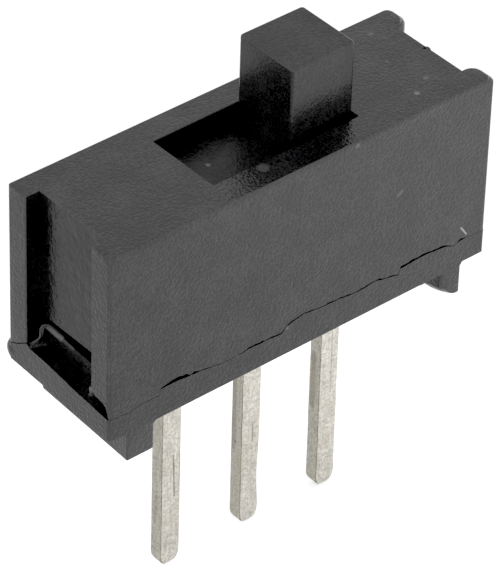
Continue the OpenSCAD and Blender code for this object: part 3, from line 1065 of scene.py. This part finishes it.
# How much lighter the rounded outer edges are than the flats: a painted highlight.
EDGE_HIGHLIGHT = 0.03


def worn(tint):
    """The tint of a moulding's rounded outer edges, lighter than the flats: a painted highlight, not wear."""
    return tuple(part + EDGE_HIGHLIGHT for part in tint)


housing_black = [
    black_plastic("housing_black", HOUSING_TINT, specular=0.5, marks=HOUSING_MARKS),
    # Outer edges, lighter as a painted highlight.
    black_plastic("housing_edge_highlight", worn(HOUSING_TINT), specular=0.5),
    # Faces in the channels and windows are darker, with less sheen: a painted shade.
    black_plastic("housing_recess_shade", RECESS_SHADE_TINT, specular=0.38, waves=0.022, relief=0.6),
]
base_black = [
    black_plastic("base_black", BASE_TINT, specular=0.5, marks=BASE_MARKS_AND_HIGHLIGHTS),
    # Outer edges, lighter as a painted highlight.
    black_plastic("base_edge_highlight", worn(BASE_TINT), specular=0.5),
    # The base's faces in the windows are darker, with less sheen: a painted shade.
    black_plastic("base_recess_shade", RECESS_SHADE_TINT, specular=0.25, marks=BASE_MARKS_AND_HIGHLIGHTS),
]
slider_black = [
    black_plastic("slider_black", SLIDER_TINT, specular=0.41, relief=0.5, matte=0.09),
    # Outer edges, lighter as a painted highlight.
    black_plastic("slider_edge_highlight", worn(SLIDER_TINT), specular=0.45),
    black_plastic("slider_carriage", SLIDER_TINT, specular=0.30, marks=SLIDER_MARKS, matte=0.15),
]
rolled_tin = tinned("rolled_tin", (0.67, 0.645, 0.578), roughness=0.36, streaks=0.22)
sheared_tin = tinned("sheared_tin", (0.50, 0.48, 0.42), roughness=0.5, streaks=0.25)
# A darker tin for the near left edge of each pin.
dark_edge_tin = tinned("dark_edge_tin", (0.30, 0.275, 0.225), roughness=0.5, streaks=0.7)

finish_piece(housing(), "housing_shell", "body", housing_black, ["housing"], recess,
             triangles=True)
finish_piece(base(), "base_moulding", "body", base_black, ["base"], recess)
finish_piece(slider(), "slide_lever", "slide", slider_black, ["slider"], below_slot)
# Each pin's lean to the right, what it is longer than the frame's, and how far its right side is worn in.
PINS = {"left_terminal": (0.0, -0.03, 0.0), "centre_terminal": (0.02, -0.05, 0.05),
        "right_terminal": (0.02, 0.05, 0.0)}
# A pin's face is in its near left edge, which is given a darker tin, if its normal points both ways by more
# than CREASED, and on a sheared side if its normal is more than SHEARED along X.
CREASED = 0.35
SHEARED = 0.8
for node_name, shape in PINS.items():
    piece = finish_piece(terminal(node_name, *shape), node_name.replace("terminal", "pin"), "body",
                         [rolled_tin, sheared_tin, dark_edge_tin], [node_name])
    for face in piece.data.polygons:
        if -face.normal.x > CREASED and -face.normal.y > CREASED:
            face.material_index = 2
        else:
            face.material_index = 1 if abs(face.normal.x) > SHEARED else 0

# The clip keeps its CAD mesh and gets only a material.
clip = frame["nodes"]["contact_clip"]
clip.data.materials.clear()
clip.data.materials.append(bronze())


# ---- Floor, light and camera ----
FLOOR_HALF = 600
FLOOR_THK = 1
FLOOR_DROP = 0.06
DAYLIGHT = 1.15
# The photo's darks are crushed to black, and so are the picture's.
BLACK_LEVEL = 0.0085
floor_z = mm_box("centre_terminal")[0].z - FLOOR_DROP
floor = prism(rectangle(-FLOOR_HALF, FLOOR_HALF, -FLOOR_HALF, FLOOR_HALF),
              [(floor_z - FLOOR_THK, 0), (floor_z, 0)])
floor.name = "floor"
floor.data.transform(Matrix.Scale(MM, 4))
floor.data.materials.append(paper("white_paper"))

world = bpy.data.worlds.new("soft_box")
world.use_nodes = True
background = world.node_tree.nodes["Background"]
background.inputs["Color"].default_value = (1.0, 1.0, 1.0, 1)
background.inputs["Strength"].default_value = DAYLIGHT
bpy.context.scene.world = world
view = bpy.context.scene.view_settings
view.view_transform = "Standard"
view.use_curve_mapping = True
view.curve_mapping.black_level = (BLACK_LEVEL, BLACK_LEVEL, BLACK_LEVEL)


def softbox(name, place, aim, size, power, colour):
    """A large square light. Places and size are in millimetres."""
    data = bpy.data.lights.new(name, "AREA")
    data.size = size * MM
    data.energy = power
    data.color = colour
    light = bpy.data.objects.new(name, data)
    light.location = Vector(place) * MM
    direction = Vector(aim) - Vector(place)
    light.rotation_euler = direction.to_track_quat("-Z", "Y").to_euler()
    bpy.context.scene.collection.objects.link(light)


softbox("top_softbox", place=(-10, -20, 130), aim=(0, 0, 0), size=80, power=0.02, colour=(0.97, 0.98, 1.0))

# Where the camera stands as seen from TARGET, its tilt about its own axis, and its distance from there.
# Lengths are in millimetres, the lens's too.
AZIMUTH = math.radians(-41.23)
ELEVATION = math.radians(37.62)
ROLL = math.radians(1.81)
DISTANCE = 105.3
TARGET = Vector((1.079, 1.235, 0.271))
LENS = 273.7
SENSOR = 36


def add_camera():
    """A long lens at the viewing angle, a little over 100 mm away."""
    back = Vector((math.sin(AZIMUTH) * math.cos(ELEVATION),
                   -math.cos(AZIMUTH) * math.cos(ELEVATION),
                   math.sin(ELEVATION)))
    right = Vector((math.cos(AZIMUTH), math.sin(AZIMUTH), 0))
    up = back.cross(right)
    turned_right = right * math.cos(ROLL) + up * math.sin(ROLL)
    turned_up = up * math.cos(ROLL) - right * math.sin(ROLL)
    data = bpy.data.cameras.new("camera")
    data.lens = LENS
    data.sensor_width = SENSOR
    data.clip_start = 0.005
    data.clip_end = 20
    camera = bpy.data.objects.new("camera", data)
    turn = Matrix((turned_right, turned_up, back)).transposed()
    camera.matrix_world = Matrix.Translation((TARGET + back * DISTANCE) * MM) @ turn.to_4x4()
    bpy.context.scene.collection.objects.link(camera)
    bpy.context.scene.camera = camera


add_camera()
